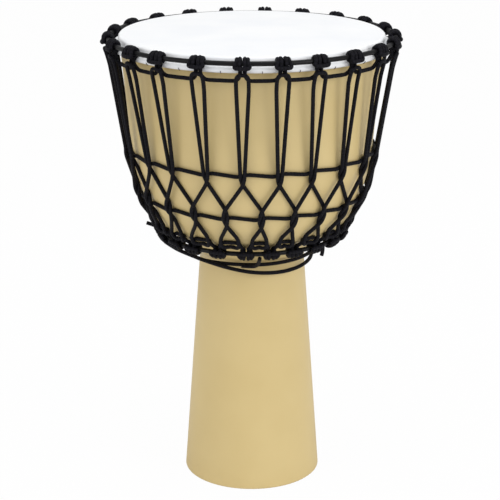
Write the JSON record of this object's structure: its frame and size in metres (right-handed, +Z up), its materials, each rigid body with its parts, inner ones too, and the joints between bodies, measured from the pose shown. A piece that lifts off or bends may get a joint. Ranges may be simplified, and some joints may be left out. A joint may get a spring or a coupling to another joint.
{
  "type": "djembe",
  "caption": "Goblet-shaped hand drum with a moulded shell, film head on a hoop, two steel rings with cow hitches, rope lacing woven at two levels, and a rope tail.",
  "frame": {"origin": "centre of the foot's rim, on the floor the drum stands on", "axes": "+Z up along the drum's axis to the head, -Y towards the front, +X to the right as seen from the front"},
  "size_m": [0.3827, 0.3823, 0.6007],
  "materials": {
    "shell": "moulded cream plastic, smooth satin",
    "head": "white polyester film, matt",
    "hoop": "zinc plated rod",
    "stitches": "dark waxed thread",
    "rings": "black powder coat, satin",
    "rope": "black braided polyester cord"
  },
  "bodies": {
    "root": {"shell": "shell", "drum_head": "head", "flesh_hoop": "hoop", "hem_stitches": "stitches", "crown_ring": "rings", "bottom_ring": "rings", "crown_hitches": "rope", "crown_cradle": "rope", "bottom_hitches": "rope", "bottom_cradle": "rope", "lacing_right_legs": "rope", "lacing_left_legs": "rope", "upper_weave": "rope", "lower_weave": "rope", "tail": "rope", "tail_tie": "rope", "cut_ends": "rope"}
  },
  "joints": []
}
